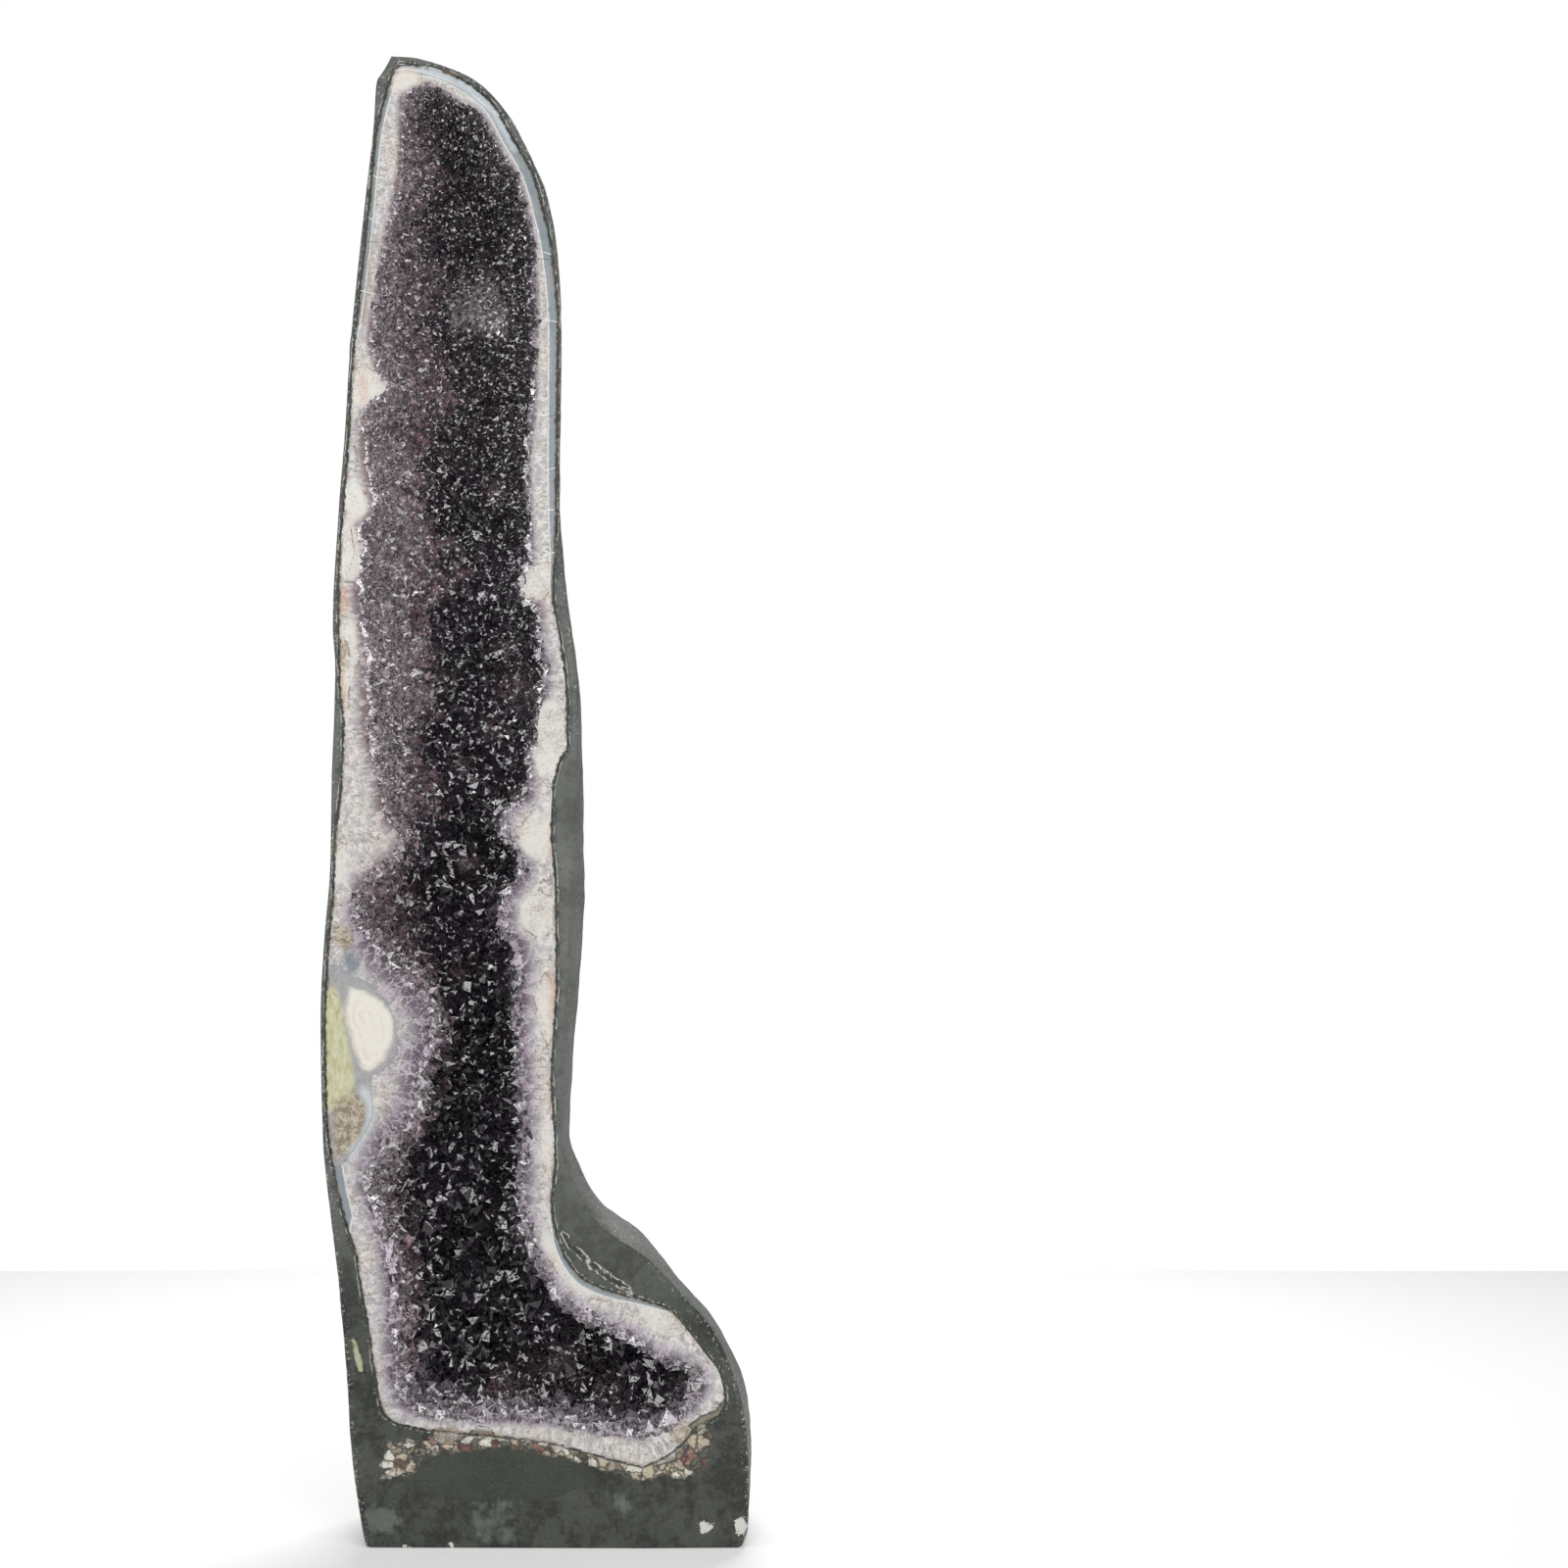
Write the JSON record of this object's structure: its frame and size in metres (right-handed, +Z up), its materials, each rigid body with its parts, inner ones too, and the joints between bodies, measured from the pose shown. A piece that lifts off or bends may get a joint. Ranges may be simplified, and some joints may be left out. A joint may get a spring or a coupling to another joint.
{
  "type": "amethyst cathedral geode",
  "caption": "Tall narrow geode sawn open lengthwise, lined with amethyst points, agate rim, standing in a mortar jacket with a boot-shaped foot.",
  "frame": {"origin": "middle of the footprint, on the floor", "axes": "+Z up, the sawn face looks along -Y, the toe of the foot points along +X"},
  "size_m": [0.3496, 0.2163, 1.218],
  "materials": {
    "painted_mortar": "matt grey-green paint over trowelled mortar",
    "agate": "sawn and polished banded agate and milky quartz",
    "amethyst": "natural shiny crystal faces"
  },
  "bodies": {
    "root": {"cement_jacket": "painted_mortar", "agate_rind": "agate", "amethyst_crust": "amethyst"}
  },
  "joints": []
}
